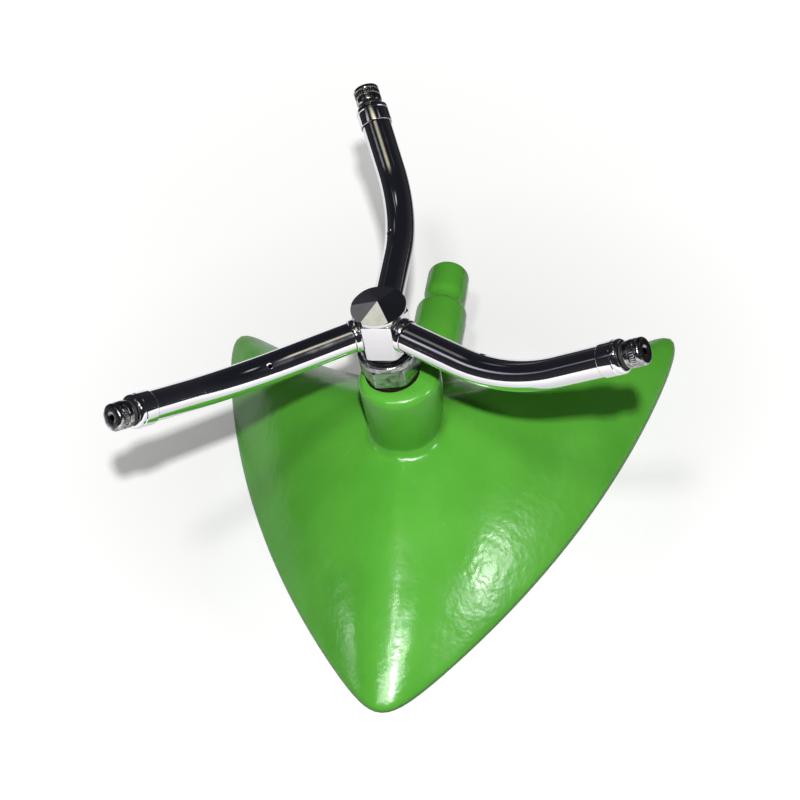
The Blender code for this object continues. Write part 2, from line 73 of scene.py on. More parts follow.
ROOF_LOOPS = np.linspace(0.94, 0, 22)
BOSS_TOP = 80 * MM
BOSS_TOP_RADIUS = 16.6 * MM
BOSS_FOOT_RADIUS = 14.3 * MM
BOSS_TOP_SHIFT = 2.3 * MM
BOSS_FOOT_SHIFT = 0.7 * MM
BOSS_EDGE = 3.6 * MM
BOSS_FILLET = 3.5 * MM
COLUMN_RADIUS = 11.8 * MM
CHAMBER_RADIUS = 10.3 * MM
CHAMBER_FLOOR = 56 * MM
RISER_RADIUS = 5 * MM
INLET_HEIGHT = 26 * MM
INLET_LENGTH = 112 * MM
INLET_RADIUS = 11 * MM
INLET_FILLET = 4 * MM
ROOT_NEAREST, ROOT_FARTHEST = 15 * MM, 90 * MM
ROOT_LEAD = 9 * MM
ROOT_DEPTH = 1.6 * MM
ROOT_SINK = 0.03 * MM
INLET_SHOULDER = 86 * MM
NECK_RADIUS = 7.8 * MM
NECK_FILLET = 0.8 * MM
BULB_RADIUS = 9.1 * MM
BULB_START = 92.5 * MM
BULB_RISE = 5.4 * MM
MOUTH_ROUND = 3.4 * MM
WATERWAY_RADIUS = 5.3 * MM
INLET_SIDES = 96


def edge_shares(x, y, reach):
    """How far plan points lie towards each of the three edge arcs: 0 on the spin axis, 1 on the arc."""
    middle = SIDE_RADIUS - EDGE_DISTANCE
    across, along = middle * math.cos(SIDE_FACING), middle * math.sin(SIDE_FACING)
    right = np.hypot(x + across, y + along) - middle
    left = np.hypot(x - across, y + along) - middle
    back = EDGE_DISTANCE + BACK_RADIUS - np.hypot(x, y - EDGE_DISTANCE - BACK_RADIUS)
    return np.maximum(np.stack((right, left, back)), 0) / reach


def rounded_share(shares, power):
    """One share from the three, which meet in rounded corners: the higher the power, the sharper."""
    return (shares ** power).sum(0) ** (1 / power)


def vault(x, y, reach):
    """1 over the spin axis and 0 on the outline, with softer corners towards the crown and a low front ridge."""
    shares = edge_shares(x, y, reach)
    nearness = rounded_share(shares, CORNER_POWER)
    power = CROWN_POWER + (CORNER_POWER - CROWN_POWER) * nearness ** 3
    ahead = np.maximum(-y, 0) / np.maximum(np.hypot(x, y), MM)
    eased = NOSE_EASE * 4 * nearness * (1 - nearness) * ahead ** 6
    return np.maximum(1 - rounded_share(shares, power) ** DOME_POWER - eased, 0)


def dome_height(x, y):
    """The casting's top over plan points, with the fillet round the boss's foot."""
    height = RIM_HEIGHT + (DOME_HEIGHT - RIM_HEIGHT) * vault(x, y, EDGE_DISTANCE)
    short = np.clip(BOSS_FOOT_RADIUS + BOSS_FILLET - np.hypot(x - BOSS_FOOT_SHIFT, y), 0, BOSS_FILLET)
    return height + BOSS_FILLET - np.sqrt(BOSS_FILLET ** 2 - short ** 2)


def outline(angles, reach):
    """Plan points where rays from the spin axis meet the outline."""
    near, far = np.zeros_like(angles), np.full_like(angles, 3 * EDGE_DISTANCE)
    for _ in range(40):
        middle = (near + far) / 2
        inside = rounded_share(edge_shares(middle * np.cos(angles), middle * np.sin(angles), reach), CORNER_POWER) < 1
        near, far = np.where(inside, middle, near), np.where(inside, far, middle)
    return np.column_stack((near * np.cos(angles), near * np.sin(angles)))


def casting_loops():
    """The loops of the shell, from the edge of the boss's top down to the rim and up again inside the hollow."""
    dense = outline(np.linspace(-math.pi / 2, 1.5 * math.pi, 12 * RIM_POINTS + 1), EDGE_DISTANCE)
    travelled = np.concatenate(([0], np.hypot(*np.diff(dense, axis=0).T).cumsum()))
    stops = np.linspace(0, travelled[-1], RIM_POINTS + 1)[:-1]
    rim = np.column_stack([np.interp(stops, travelled, dense[:, axis]) for axis in (0, 1)])
    angles = np.arctan2(rim[:, 1], rim[:, 0])
    hollow_rim = outline(angles, EDGE_DISTANCE - RIM_WIDTH)
    even = -math.pi / 2 + 2 * math.pi * np.arange(RIM_POINTS) / RIM_POINTS
    turn = angles - even
    turn -= 2 * math.pi * np.round(turn / (2 * math.pi))
    inner = even + LOOP_LEAN * turn

    def level(plan, height):
        return np.column_stack((plan, np.full(RIM_POINTS, height)))

    def ring(radius, height, shift=BOSS_FOOT_SHIFT):
        return level(np.column_stack((shift + radius * np.cos(inner), radius * np.sin(inner))), height)

    def spread(outer, radius, share, height):
        """A loop that lies this share of the way from a ring to an outer outline."""
        plan = ring(radius, 0)[:, :2] * (1 - share) + outer * share
        return np.column_stack((plan, height(*plan.T)))

    def rounded(start, corner, end, steps):
        return [(1 - t) ** 2 * start + 2 * t * (1 - t) * corner + t * t * end for t in np.linspace(0, 1, steps + 1)]

    def roof(x, y):
        return (DOME_HEIGHT - ROOF_WALL) * vault(x, y, EDGE_DISTANCE - RIM_WIDTH)

    loops = []
    for t in np.linspace(math.pi / 2, 0, 7):
        inset, drop = BOSS_EDGE * (1 - math.cos(t)), BOSS_EDGE * (1 - math.sin(t))
        loops.append(ring(BOSS_TOP_RADIUS - inset, BOSS_TOP - drop, BOSS_TOP_SHIFT))
    foot = spread(rim, BOSS_FOOT_RADIUS, 0, dome_height)
    shares = [np.array([t * t, t * t, t]) for t in np.linspace(0, 1, 9)[1:-1]]
    loops += [loops[-1] * (1 - share) + foot * share for share in shares]
    loops += [spread(rim, BOSS_FOOT_RADIUS, share, dome_height) for share in (*FILLET_LOOPS, *DOME_LOOPS)]
    shoulder = loops.pop()
    loops += rounded(shoulder, level(rim, RIM_HEIGHT), level(rim, RIM_HEIGHT - RIM_ROUND), 5)
    worn = rim + (hollow_rim - rim) * FOOT_SHARE
    loops += rounded(level(rim, FOOT_ROUND), level(rim, 0), level(worn, 0), 3)
    lip = hollow_rim + (rim - hollow_rim) * FOOT_SHARE
    raised = spread(hollow_rim, COLUMN_RADIUS / 2, HOLLOW_SHOULDER, roof)
    loops += rounded(level(lip, 0), level(hollow_rim, 0), raised, 3)
    loops += [spread(hollow_rim, COLUMN_RADIUS / 2, share, roof) for share in ROOF_LOOPS]
    return loops


def drawn_up(name, count, sides):
    """A tube of rings, made from a circle that is extruded, for its rings to be set in place."""
    size = 10 * MM
    bpy.ops.object.select_all(action="DESELECT")
    bpy.ops.mesh.primitive_circle_add(vertices=sides, radius=size)
    obj = bpy.context.active_object
    obj.name = obj.data.name = name
    bpy.ops.object.mode_set(mode="EDIT")
    bpy.ops.mesh.select_mode(type="VERT")
    bpy.ops.mesh.select_all(action="SELECT")
    for _ in range(count - 1):
        bpy.ops.mesh.extrude_region_move(TRANSFORM_OT_translate={"value": (0, 0, size)})
    bpy.ops.object.mode_set(mode="OBJECT")
    return obj


def set_rings(obj, rings):
    """Puts a drawn-up tube's rings in place and closes both ends."""
    points = np.concatenate(rings).astype(np.float32)
    obj.data.vertices.foreach_set("co", points.ravel())
    sides = len(rings[0])
    bpy.ops.object.mode_set(mode="EDIT")
    bpy.ops.mesh.select_mode(type="VERT")
    for first in (0, (len(rings) - 1) * sides):
        bpy.ops.mesh.select_all(action="DESELECT")
        bpy.ops.object.mode_set(mode="OBJECT")
        chosen = np.zeros(len(obj.data.vertices), bool)
        chosen[first:first + sides] = True
        obj.data.vertices.foreach_set("select", chosen)
        bpy.ops.object.mode_set(mode="EDIT")
        bpy.ops.mesh.edge_face_add()
    bpy.ops.mesh.select_all(action="SELECT")
    bpy.ops.mesh.normals_make_consistent(inside=False)
    bpy.ops.object.mode_set(mode="OBJECT")


def surface_normal(x, y):
    """The dome's outward normal over plan points."""
    step = 0.02 * MM
    slope_x = (dome_height(x + step, y) - dome_height(x - step, y)) / (2 * step)
    slope_y = (dome_height(x, y + step) - dome_height(x, y - step)) / (2 * step)
    normal = np.stack((-slope_x, -slope_y, np.ones_like(x)))
    return normal / np.linalg.norm(normal, axis=0)


def inlet_rings():
    """The hose tail from the column to its mouth, with the fillet that a ball rolled round its root would leave."""
    angles = 2 * math.pi * np.arange(INLET_SIDES) / INLET_SIDES
    radial = np.stack((np.sin(angles), np.zeros(INLET_SIDES), np.cos(angles)))
    axis = np.array([[0], [0], [INLET_HEIGHT]])

    def touching(travel):
        """The ball's centre at a distance along the tail, and where it would touch the dome."""
        centre = axis + (INLET_RADIUS + INLET_FILLET) * radial + travel * np.array([[0], [1], [0]])
        foot = centre.copy()
        for _ in range(25):
            normal = surface_normal(foot[0], foot[1])
            foot = centre - INLET_FILLET * normal
        return centre, foot, normal

    near, far = np.full(INLET_SIDES, ROOT_NEAREST), np.full(INLET_SIDES, ROOT_FARTHEST)
    for _ in range(30):
        middle = (near + far) / 2
        centre, foot, normal = touching(middle)
        clear = foot[2] > dome_height(foot[0], foot[1])
        near, far = np.where(clear, near, middle), np.where(clear, middle, far)
    centre, foot, normal = touching(middle)

    def tube(radius, travel):
        return (axis + radius * radial + travel * np.array([[0], [1], [0]])).T

    rings = [tube(INLET_RADIUS, 0.0), tube(INLET_RADIUS, middle - ROOT_LEAD), (foot - ROOT_DEPTH * normal).T]
    opening = np.arccos(np.clip((radial * normal).sum(0), -1, 1))
    for t in np.linspace(1, 0, 9):
        blend = (np.sin(t * opening) * normal + np.sin((1 - t) * opening) * radial) / np.sin(opening)
        sunk = ROOT_SINK * (t == 1)
        rings.append((centre - (INLET_FILLET + sunk) * blend).T)
    rings += [tube(INLET_RADIUS, middle * (1 - t) + INLET_SHOULDER * t) for t in (0.25, 0.5, 0.75)]
    shoulder, waist = INLET_RADIUS - NECK_RADIUS, NECK_RADIUS + NECK_FILLET
    for t in np.linspace(0, math.pi / 2, 9):
        rings.append(tube(waist + (INLET_RADIUS - waist) * math.cos(t), INLET_SHOULDER + shoulder * math.sin(t)))
    for t in np.linspace(0, math.pi / 2, 6)[1:]:
        travel = INLET_SHOULDER + shoulder + NECK_FILLET * (1 - math.cos(t))
        rings.append(tube(waist - NECK_FILLET * math.sin(t), travel))
    for t in np.linspace(0, 1, 8):
        swell = t * t * (3 - 2 * t)
        rings.append(tube(NECK_RADIUS + (BULB_RADIUS - NECK_RADIUS) * swell, BULB_START + BULB_RISE * t))
    for t in np.linspace(0, math.pi / 2, 10):
        inset, drawn_in = MOUTH_ROUND * (1 - math.cos(t)), MOUTH_ROUND * (1 - math.sin(t))
        rings.append(tube(BULB_RADIUS - inset, INLET_LENGTH - drawn_in))
    return rings


def make_active(obj):
    bpy.ops.object.select_all(action="DESELECT")
    bpy.context.view_layer.objects.active = obj
    obj.select_set(True)


def cut_or_join(obj, tool, operation):
    """Applies a Boolean and clears its tool away."""
    make_active(obj)
    step = obj.modifiers.new(operation.lower(), "BOOLEAN")
    step.object, step.operation, step.solver = tool, operation, "EXACT"
    bpy.ops.object.modifier_apply(modifier=step.name)
    bpy.data.objects.remove(tool)


def set_in_place(obj, matrix):
    """Moves a finished piece by a matrix, and leaves the move in its mesh."""
    make_active(obj)
    obj.matrix_world = matrix
    bpy.ops.object.transform_apply(location=True, rotation=True, scale=True)


def cylinder(name, radius, start, end, sides=96, along_y=False):
    """A cylinder from start to end on the Z axis, or on the hose tail's axis."""
    bpy.ops.object.select_all(action="DESELECT")
    middle = (start + end) / 2
    bpy.ops.mesh.primitive_cylinder_add(
        vertices=sides, radius=radius, depth=end - start,
        location=(0, middle, INLET_HEIGHT) if along_y else (0, 0, middle),
        rotation=(math.radians(-90) if along_y else 0, 0, 0),
    )
    obj = bpy.context.active_object
    obj.name = name
    bpy.ops.object.transform_apply(location=True, rotation=True, scale=True)
    return obj


loops = casting_loops()
casting = drawn_up("cast_base", len(loops), RIM_POINTS)
set_rings(casting, loops)
tail_rings = inlet_rings()
tail = drawn_up("tail", len(tail_rings), INLET_SIDES)
set_rings(tail, tail_rings)
cut_or_join(casting, cylinder("column", COLUMN_RADIUS, INLET_HEIGHT - COLUMN_RADIUS, DOME_HEIGHT), "UNION")
cut_or_join(casting, tail, "UNION")
cut_or_join(casting, cylinder("chamber", CHAMBER_RADIUS, CHAMBER_FLOOR, BOSS_TOP + MM), "DIFFERENCE")
cut_or_join(casting, cylinder("riser", RISER_RADIUS, INLET_HEIGHT, CHAMBER_FLOOR + MM, 48), "DIFFERENCE")
waterway = cylinder("waterway", WATERWAY_RADIUS, -RISER_RADIUS, INLET_LENGTH + 2 * MM, 72, along_y=True)
cut_or_join(casting, waterway, "DIFFERENCE")
set_in_place(casting, ON_AXIS)
bpy.ops.object.shade_smooth_by_angle(angle=math.radians(40))


class Finish:
    """A material with the node calls that the finishes below share."""

    def __init__(self, name):
        self.material = bpy.data.materials.new(name)
        self.material.use_nodes = True
        self.nodes = self.material.node_tree.nodes
        self.shader = self.nodes["Principled BSDF"]
        self.place = self.nodes.new("ShaderNodeTexCoord").outputs["Object"]

    def link(self, output, target):
        self.material.node_tree.links.new(output, target)

    def dress(self, sockets):
        """Sets the shader's sockets by name, each from a node's output or to a constant."""
        for name, value in sockets.items():
            if isinstance(value, bpy.types.NodeSocket):
                self.link(value, self.shader.inputs[name])
            else:
                self.shader.inputs[name].default_value = value

    def noise(self, scale, detail=2.0, stretch=(1, 1, 1), roughness=0.5):
        mapping = self.nodes.new("ShaderNodeMapping")
        mapping.inputs["Scale"].default_value = stretch
        noise = self.nodes.new("ShaderNodeTexNoise")
        noise.inputs["Scale"].default_value = scale
        noise.inputs["Detail"].default_value = detail
        noise.inputs["Roughness"].default_value = roughness
        self.link(self.place, mapping.inputs["Vector"])
        self.link(mapping.outputs["Vector"], noise.inputs["Vector"])
        return noise.outputs["Fac"]

    def ramp(self, value, stops):
        """Colours at positions along a value."""
        ramp = self.nodes.new("ShaderNodeValToRGB")
        elements = ramp.color_ramp.elements
        while len(elements) < len(stops):
            elements.new(0.5)
        for element, (position, colour) in zip(elements, stops):
            element.position = position
            element.color = (*colour, 1)
        self.link(value, ramp.inputs["Fac"])
        return ramp.outputs["Color"]

    def between(self, value, low, high, start=0.3, end=0.7):
        """A value from low to high as another goes from start to end."""
        spread = self.nodes.new("ShaderNodeMapRange")
        for socket, number in zip(("From Min", "From Max", "To Min", "To Max"), (start, end, low, high)):
            spread.inputs[socket].default_value = number
        self.link(value, spread.inputs["Value"])
        return spread.outputs["Result"]

    def bump(self, height, depth, strength=1.0, under=None):
        """Raises the surface by a height in metres, on top of the bump under it."""
        bump = self.nodes.new("ShaderNodeBump")
        bump.inputs["Strength"].default_value = strength
        bump.inputs["Distance"].default_value = depth
        self.link(height, bump.inputs["Height"])
        if under:
            self.link(under, bump.inputs["Normal"])
        return bump.outputs["Normal"]

    def mixed(self, share, first, second):
        """A colour between two. A mix node's colour sockets are its inputs 6 and 7 and its output 2."""
        mix = self.nodes.new("ShaderNodeMix")
        mix.data_type = "RGBA"
        self.link(share, mix.inputs["Factor"])
        for socket, colour in zip((mix.inputs[6], mix.inputs[7]), (first, second)):
            if isinstance(colour, tuple):
                socket.default_value = (*colour, 1)
            else:
                self.link(colour, socket)
        return mix.outputs[2]

    def height_above_floor(self):
        parts = self.nodes.new("ShaderNodeSeparateXYZ")
        self.link(self.place, parts.inputs["Vector"])
        return parts.outputs["Z"]

    def distance_from(self, point):
        away = self.nodes.new("ShaderNodeVectorMath")
        away.operation = "DISTANCE"
        away.inputs[1].default_value = point
        self.link(self.place, away.inputs[0])
        return away.outputs["Value"]

    def combined(self, operation, first, second):
        maths = self.nodes.new("ShaderNodeMath")
        maths.operation = operation
        self.link(first, maths.inputs[0])
        self.link(second, maths.inputs[1])
        return maths.outputs["Value"]


def grey(level):
    return (level, level, level)


enamel = Finish("green_enamel")
green = enamel.ramp(enamel.noise(26, 3), [(0.35, (0.090, 0.395, 0.036)), (0.65, (0.112, 0.455, 0.046))])
# Painted shade: the enamel turns darker over the lowest 2.6 mm, along the rim where it meets the floor.
painted_rim_shade = enamel.between(enamel.height_above_floor(), 1, 0, start=0.4 * MM, end=2.6 * MM)
sags = enamel.bump(enamel.noise(80, 3, roughness=0.6), 0.8 * MM, 0.4)
enamel.dress({
    "Base Color": enamel.mixed(painted_rim_shade, green, (0.045, 0.22, 0.02)),
    "Roughness": enamel.between(enamel.noise(60, 3), 0.17, 0.28),
    "Specular IOR Level": 0.3,
    "Normal": enamel.bump(enamel.noise(330, 2), 0.12 * MM, 0.5, under=sags),
})
casting.data.materials.clear()
casting.data.materials.append(enamel.material)
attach(casting, "base")
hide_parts("base_casting")


# Gland nut and its two washers: a chromed hexagon with a round collar, turned from one bar and screwed into the
# boss on a fibre gasket, coloured nearly black as painted shade under the nut. The rotor runs on the black nylon
# washer on its collar.
GASKET_BOTTOM = BOSS_TOP + 0.3 * MM
NUT_BOTTOM = BOSS_TOP + 2.2 * MM
HEXAGON_HEIGHT = 9.3 * MM
NUT_ACROSS_FLATS = 21 * MM
NUT_TOP = NUT_BOTTOM + 12.3 * MM
SHANK_BOTTOM = NUT_BOTTOM - 12 * MM
NUT_TURN = math.radians(8)
RUNNER_BOTTOM = NUT_TOP + 0.3 * MM
STEM_BORE_RADIUS = 5.3 * MM


def eased(corners, steps=4, bottom=0):
    """A turned profile from (radius, height, rounding) corners in millimetres, above a bottom in metres."""
    base, points = Vector((0, bottom)), []
    for index, (radius, height, rounding) in enumerate(corners):
        here = base + Vector((radius, height)) * MM
        if rounding == 0:
            points.append(here)
            continue
        before = base + Vector(corners[index - 1][:2]) * MM
        after = base + Vector(corners[(index + 1) % len(corners)][:2]) * MM
        start = here + (before - here).normalized() * rounding * MM
        end = here + (after - here).normalized() * rounding * MM
        points += [start.lerp(here, t / steps).lerp(here.lerp(end, t / steps), t / steps) for t in range(steps + 1)]
    return points


def turned(name, profile, sides=128, bored=False):
    """A turned piece on the Z axis. A bored one has a profile that ends where it starts."""
    angles = 2 * math.pi * (np.arange(sides) + 0.5) / sides
    rings = [np.column_stack((radius * np.cos(angles), radius * np.sin(angles), np.full(sides, height)))
             for radius, height in profile]
    obj = drawn_up(name, len(rings), sides)
    if not bored:
        set_rings(obj, rings)
        return obj
    obj.data.vertices.foreach_set("co", np.concatenate(rings).astype(np.float32).ravel())
    bpy.ops.object.mode_set(mode="EDIT")
    bpy.ops.mesh.select_all(action="SELECT")
    bpy.ops.mesh.remove_doubles(threshold=0.001 * MM)
    bpy.ops.mesh.normals_make_consistent(inside=False)
    bpy.ops.object.mode_set(mode="OBJECT")
    return obj


def hexagonal_bar(name, across_flats, bottom, top, edge):
    """A hexagonal bar with a flat that faces -Y, and long edges softened by an edge width or sharp."""
    bpy.ops.object.select_all(action="DESELECT")
    bpy.ops.mesh.primitive_cylinder_add(
        vertices=6, radius=across_flats / math.sqrt(3), depth=top - bottom,
        location=(0, 0, (top + bottom) / 2), rotation=(0, 0, math.radians(30)),
    )
    bar = bpy.context.active_object
    bar.name = name
    bpy.ops.object.transform_apply(location=True, rotation=True, scale=True)
    if edge == 0:
        return bar
    bpy.ops.object.mode_set(mode="EDIT")
    bpy.ops.mesh.select_all(action="DESELECT")
    bpy.ops.object.mode_set(mode="OBJECT")
    for side in bar.data.edges:
        low, high = (bar.data.vertices[index].co for index in side.vertices)
        side.select = abs(low.z - high.z) > (top - bottom) / 2
    bpy.ops.object.mode_set(mode="EDIT")
    bpy.ops.mesh.select_mode(type="EDGE")
    bpy.ops.mesh.bevel(offset=edge, segments=4, affect="EDGES")
    bpy.ops.object.mode_set(mode="OBJECT")
    return bar


def finished(obj, finish, body, replaced, angle=35):
    """Gives a piece its smooth shading, its finish, and the body that it rides on."""
    make_active(obj)
    bpy.ops.object.shade_smooth_by_angle(angle=math.radians(angle))
    obj.data.materials.clear()
    obj.data.materials.append(finish.material)
    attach(obj, body)
    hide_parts(replaced)


chrome = Finish("polished_chrome")
buffing = chrome.bump(chrome.noise(90, 2), 0.1 * MM, 0.25)
chrome.dress({
    "Base Color": chrome.ramp(chrome.noise(45, 3), [(0.3, (0.83, 0.84, 0.88)), (0.7, (0.90, 0.89, 0.88))]),
    "Metallic": 1,
    "Roughness": chrome.between(chrome.noise(150, 4), 0.035, 0.11),
    "Normal": chrome.bump(chrome.noise(900, 2), 0.02 * MM, 0.25, under=buffing),
})

worn = Finish("worn_chrome")
stains = worn.noise(420, 4, roughness=0.7)
worn.dress({
    "Base Color": worn.ramp(stains, [(0.35, grey(0.12)), (0.65, grey(0.62))]),
    "Metallic": 1,
    "Roughness": worn.between(stains, 0.3, 0.08),
    "Normal": worn.bump(worn.noise(260, 2), 0.05 * MM, 0.25),
})

# Painted shade: the fibre is nearly black, so that the gasket reads as the shade under the nut.
fibre = Finish("dark_fibre_as_painted_shade")
strands = fibre.noise(900, 4, stretch=(1, 1, 4))
fibre.dress({
    "Base Color": fibre.ramp(strands, [(0.3, (0.010, 0.006, 0.005)), (0.7, (0.022, 0.012, 0.010))]),
    "Roughness": 0.85,
    "Specular IOR Level": 0.1,
    "Normal": fibre.bump(strands, 0.15 * MM, 0.6),
})

nylon = Finish("black_nylon")
grain = nylon.noise(1200, 3)
nylon.dress({
    "Base Color": nylon.ramp(grain, [(0.3, (0.018, 0.018, 0.02)), (0.7, (0.04, 0.04, 0.042))]),
    "Roughness": nylon.between(grain, 0.38, 0.55),
    "Normal": nylon.bump(grain, 0.03 * MM, 0.4),
})

gasket = turned("fibre_gasket", eased([
    (10.3, 0, 0), (10.9, 0, 0.2), (10.9, 1.6, 0.2), (10.3, 1.6, 0), (10.3, 0, 0),
], bottom=GASKET_BOTTOM), bored=True)
set_in_place(gasket, ON_AXIS)
finished(gasket, fibre, "base", "nut_gasket")

nut = hexagonal_bar("gland_nut", NUT_ACROSS_FLATS, NUT_BOTTOM, NUT_BOTTOM + HEXAGON_HEIGHT, 0.35 * MM)
cut_or_join(nut, turned("nut_chamfers", eased([
    (10.3, 0, 0), (12.6, 1.3, 0), (12.6, 7.9, 0), (10.6, 9.3, 0),
], bottom=NUT_BOTTOM)), "INTERSECT")
cut_or_join(nut, turned("nut_barrel", eased([
    (9.4, -12, 0), (10.0, -11.3, 0.2), (10.0, 0.4, 0), (10.0, 8.4, 0), (11.2, 8.95, 0.25),
    (12.0, 9.4, 0.5), (12.0, 12.3, 0.7), (9.6, 12.3, 0),
], bottom=NUT_BOTTOM)), "UNION")
cut_or_join(nut, cylinder("nut_bore", STEM_BORE_RADIUS, SHANK_BOTTOM - MM, NUT_TOP + MM), "DIFFERENCE")
set_in_place(nut, ON_AXIS @ Matrix.Rotation(NUT_TURN, 4, "Z"))
finished(nut, worn, "base", "bearing_nut", 30)

runner = turned("thrust_ring", eased([
    (5.3, 0, 0), (8.8, 0, 0.3), (8.8, 1.9, 0.3), (5.3, 1.9, 0), (5.3, 0, 0),
], bottom=RUNNER_BOTTOM), bored=True)
set_in_place(runner, ON_AXIS)
finished(runner, nylon, "base", "thrust_washer")


# Stem: a hollow brass spindle, turned and threaded, that carries water from the boss to the hub. Its collar
# runs under the gland nut on a nylon washer and holds the rotor down. Both are hidden inside the boss, so the
# solids themselves are shown.
brass = Finish("turned_brass")
tool_marks = brass.noise(500, 3, stretch=(0.2, 0.2, 6))
brass.dress({
    "Base Color": brass.ramp(tool_marks, [(0.3, (0.62, 0.45, 0.19)), (0.7, (0.78, 0.61, 0.29))]),
    "Metallic": 1,
    "Roughness": brass.between(tool_marks, 0.2, 0.36),
    "Normal": brass.bump(tool_marks, 0.04 * MM, 0.5),
})
frame["nodes"]["stem"].material_slots[0].material = brass.material
frame["nodes"]["stem_washer"].material_slots[0].material = nylon.material


# Hub: a chromed hexagonal block with the three arms brazed into every second flat, and a round cap screwed into
# its top. The cap's low point has six flat facets, which catch the light one at a time.
HUB_ACROSS_FLATS = 20 * MM
HUB_BOTTOM = 97 * MM
HUB_TOP = HUB_BOTTOM + 18.3 * MM
SOCKET_RADIUS = 5 * MM
CAP_SEAT = HUB_TOP + 0.3 * MM
CAP_EDGE = 1.3 * MM
CAP_RISE = 3.1 * MM
CAP_ACROSS_FLATS = 24 * MM
ARM_ANGLES = [math.radians(angle) for angle in (-30, 90, 210)]

hub = hexagonal_bar("hub_block", HUB_ACROSS_FLATS, HUB_BOTTOM, HUB_TOP, 0.5 * MM)
cut_or_join(hub, turned("hub_chamfers", eased([
    (9.9, 0, 0), (11.9, 1.1, 0), (11.9, 17.6, 0), (10.6, 18.3, 0),
], bottom=HUB_BOTTOM)), "INTERSECT")
cut_or_join(hub, cylinder("hub_bore", STEM_BORE_RADIUS, HUB_BOTTOM - MM, HUB_TOP + MM), "DIFFERENCE")
outwards = Matrix.Rotation(math.radians(90), 4, "Y")
for angle in ARM_ANGLES:
    socket = cylinder("socket", SOCKET_RADIUS, 0, HUB_ACROSS_FLATS, 72)
    set_in_place(socket, Matrix.Translation((0, 0, SPIN_AXIS.z)) @ Matrix.Rotation(angle, 4, "Z") @ outwards)
    cut_or_join(hub, socket, "DIFFERENCE")
set_in_place(hub, ON_AXIS)
finished(hub, chrome, "rotor", "hub", 30)

cap = hexagonal_bar("hub_point", CAP_ACROSS_FLATS, CAP_SEAT - MM, CAP_SEAT + CAP_EDGE, 0)
bpy.ops.object.mode_set(mode="EDIT")
bpy.ops.mesh.select_all(action="DESELECT")
bpy.ops.object.mode_set(mode="OBJECT")
for face in cap.data.polygons:
    face.select = face.normal.z > 0.9
bpy.ops.object.mode_set(mode="EDIT")
bpy.ops.mesh.select_mode(type="FACE")
bpy.ops.mesh.poke()
bpy.ops.object.mode_set(mode="OBJECT")
for corner in cap.data.vertices:
    if math.hypot(corner.co.x, corner.co.y) < MM:
        corner.co.z += CAP_RISE
cut_or_join(cap, turned("cap_turning", eased([
    (10.5, 0, 0), (10.9, 0.3, 0.2), (10.9, 1.7, 0.3), (9.0, 4.0, 0), (4, 8.4, 0),
], steps=12, bottom=CAP_SEAT), 192), "INTERSECT")
cut_or_join(cap, cylinder("cap_plug", SOCKET_RADIUS, CAP_SEAT - 3.5 * MM, CAP_SEAT + 0.6 * MM), "UNION")
set_in_place(cap, ON_AXIS)
finished(cap, chrome, "rotor", "hub_cap", 9)


# Arms: three equal lengths of 12 mm chromed tube, each bent once, forwards and up, so that the jets push the rotor
# round. Each is turned down at its root, and goes through a short ferrule into the hub.
TUBE_RADIUS = 6 * MM
FERRULE_START = 10.3 * MM
ARM_START = 13 * MM
TUBE_WALL = 1.3 * MM
BEND_START = 38 * MM
BEND_RADIUS = 75 * MM
BEND_ANGLE = math.radians(33.4)
BEND_TILT = math.radians(51.2)
TUBE_STRAIGHT = 20.2 * MM
JET_HOLE_AT = 47 * MM
LEAN = Vector((0, math.cos(BEND_TILT), math.sin(BEND_TILT)))
ACROSS = Vector((0, -math.sin(BEND_TILT), math.cos(BEND_TILT)))
BEND_CENTRE = Vector((BEND_START, 0, 0)) + BEND_RADIUS * LEAN


def along_arm(travel):
    """A matrix at this distance out along an arm that starts along +X, with its Z pointing outwards."""
    turn = min(max(0, travel - BEND_START) / BEND_RADIUS, BEND_ANGLE)
    ahead = Vector((math.cos(turn), 0, 0)) + math.sin(turn) * LEAN
    beyond = max(0, travel - BEND_START - BEND_RADIUS * BEND_ANGLE)
    point = Vector((min(travel, BEND_START) + BEND_RADIUS * math.sin(turn), 0, 0))
    point += BEND_RADIUS * (1 - math.cos(turn)) * LEAN + beyond * ahead
    axes = Matrix((ahead.cross(ACROSS), ACROSS, ahead)).transposed()
    return Matrix.Translation(point) @ axes.to_4x4()


def on_each_arm(master, name, finish, body, node):
    """Copies a piece modelled on the arm along +X to the three arms. In names, # is the arm's number."""
    for number, angle in zip("123", ARM_ANGLES):
        piece = bpy.data.objects.new(name.replace("#", number), master.data.copy())
        bpy.context.scene.collection.objects.link(piece)
        set_in_place(piece, Matrix.Translation(SPIN_AXIS) @ Matrix.Rotation(angle, 4, "Z"))
        finished(piece, finish, body.replace("#", number), node.replace("#", number))
    bpy.data.objects.remove(master)


bpy.ops.object.select_all(action="DESELECT")
bpy.ops.mesh.primitive_circle_add(
    vertices=72, radius=TUBE_RADIUS, location=(ARM_START, 0, 0), rotation=(0, math.radians(90), 0),
)
tube = bpy.context.active_object
bpy.ops.object.transform_apply(location=True, rotation=True, scale=True)
bpy.ops.object.mode_set(mode="EDIT")
bpy.ops.mesh.select_all(action="SELECT")
bpy.ops.mesh.extrude_region_move(TRANSFORM_OT_translate={"value": (BEND_START - ARM_START, 0, 0)})
bpy.ops.mesh.spin(steps=32, angle=BEND_ANGLE, center=BEND_CENTRE, axis=-ACROSS)
bpy.ops.mesh.extrude_region_move(TRANSFORM_OT_translate={"value": TUBE_STRAIGHT * along_arm(1).to_3x3().col[2]})
bpy.ops.mesh.select_all(action="SELECT")
bpy.ops.mesh.remove_doubles(threshold=0.001 * MM)
bpy.ops.mesh.normals_make_consistent(inside=False)
bpy.ops.object.mode_set(mode="OBJECT")
wall = tube.modifiers.new("wall", "SOLIDIFY")
wall.thickness, wall.offset, wall.use_even_offset = TUBE_WALL, -1, True
bpy.ops.object.modifier_apply(modifier=wall.name)
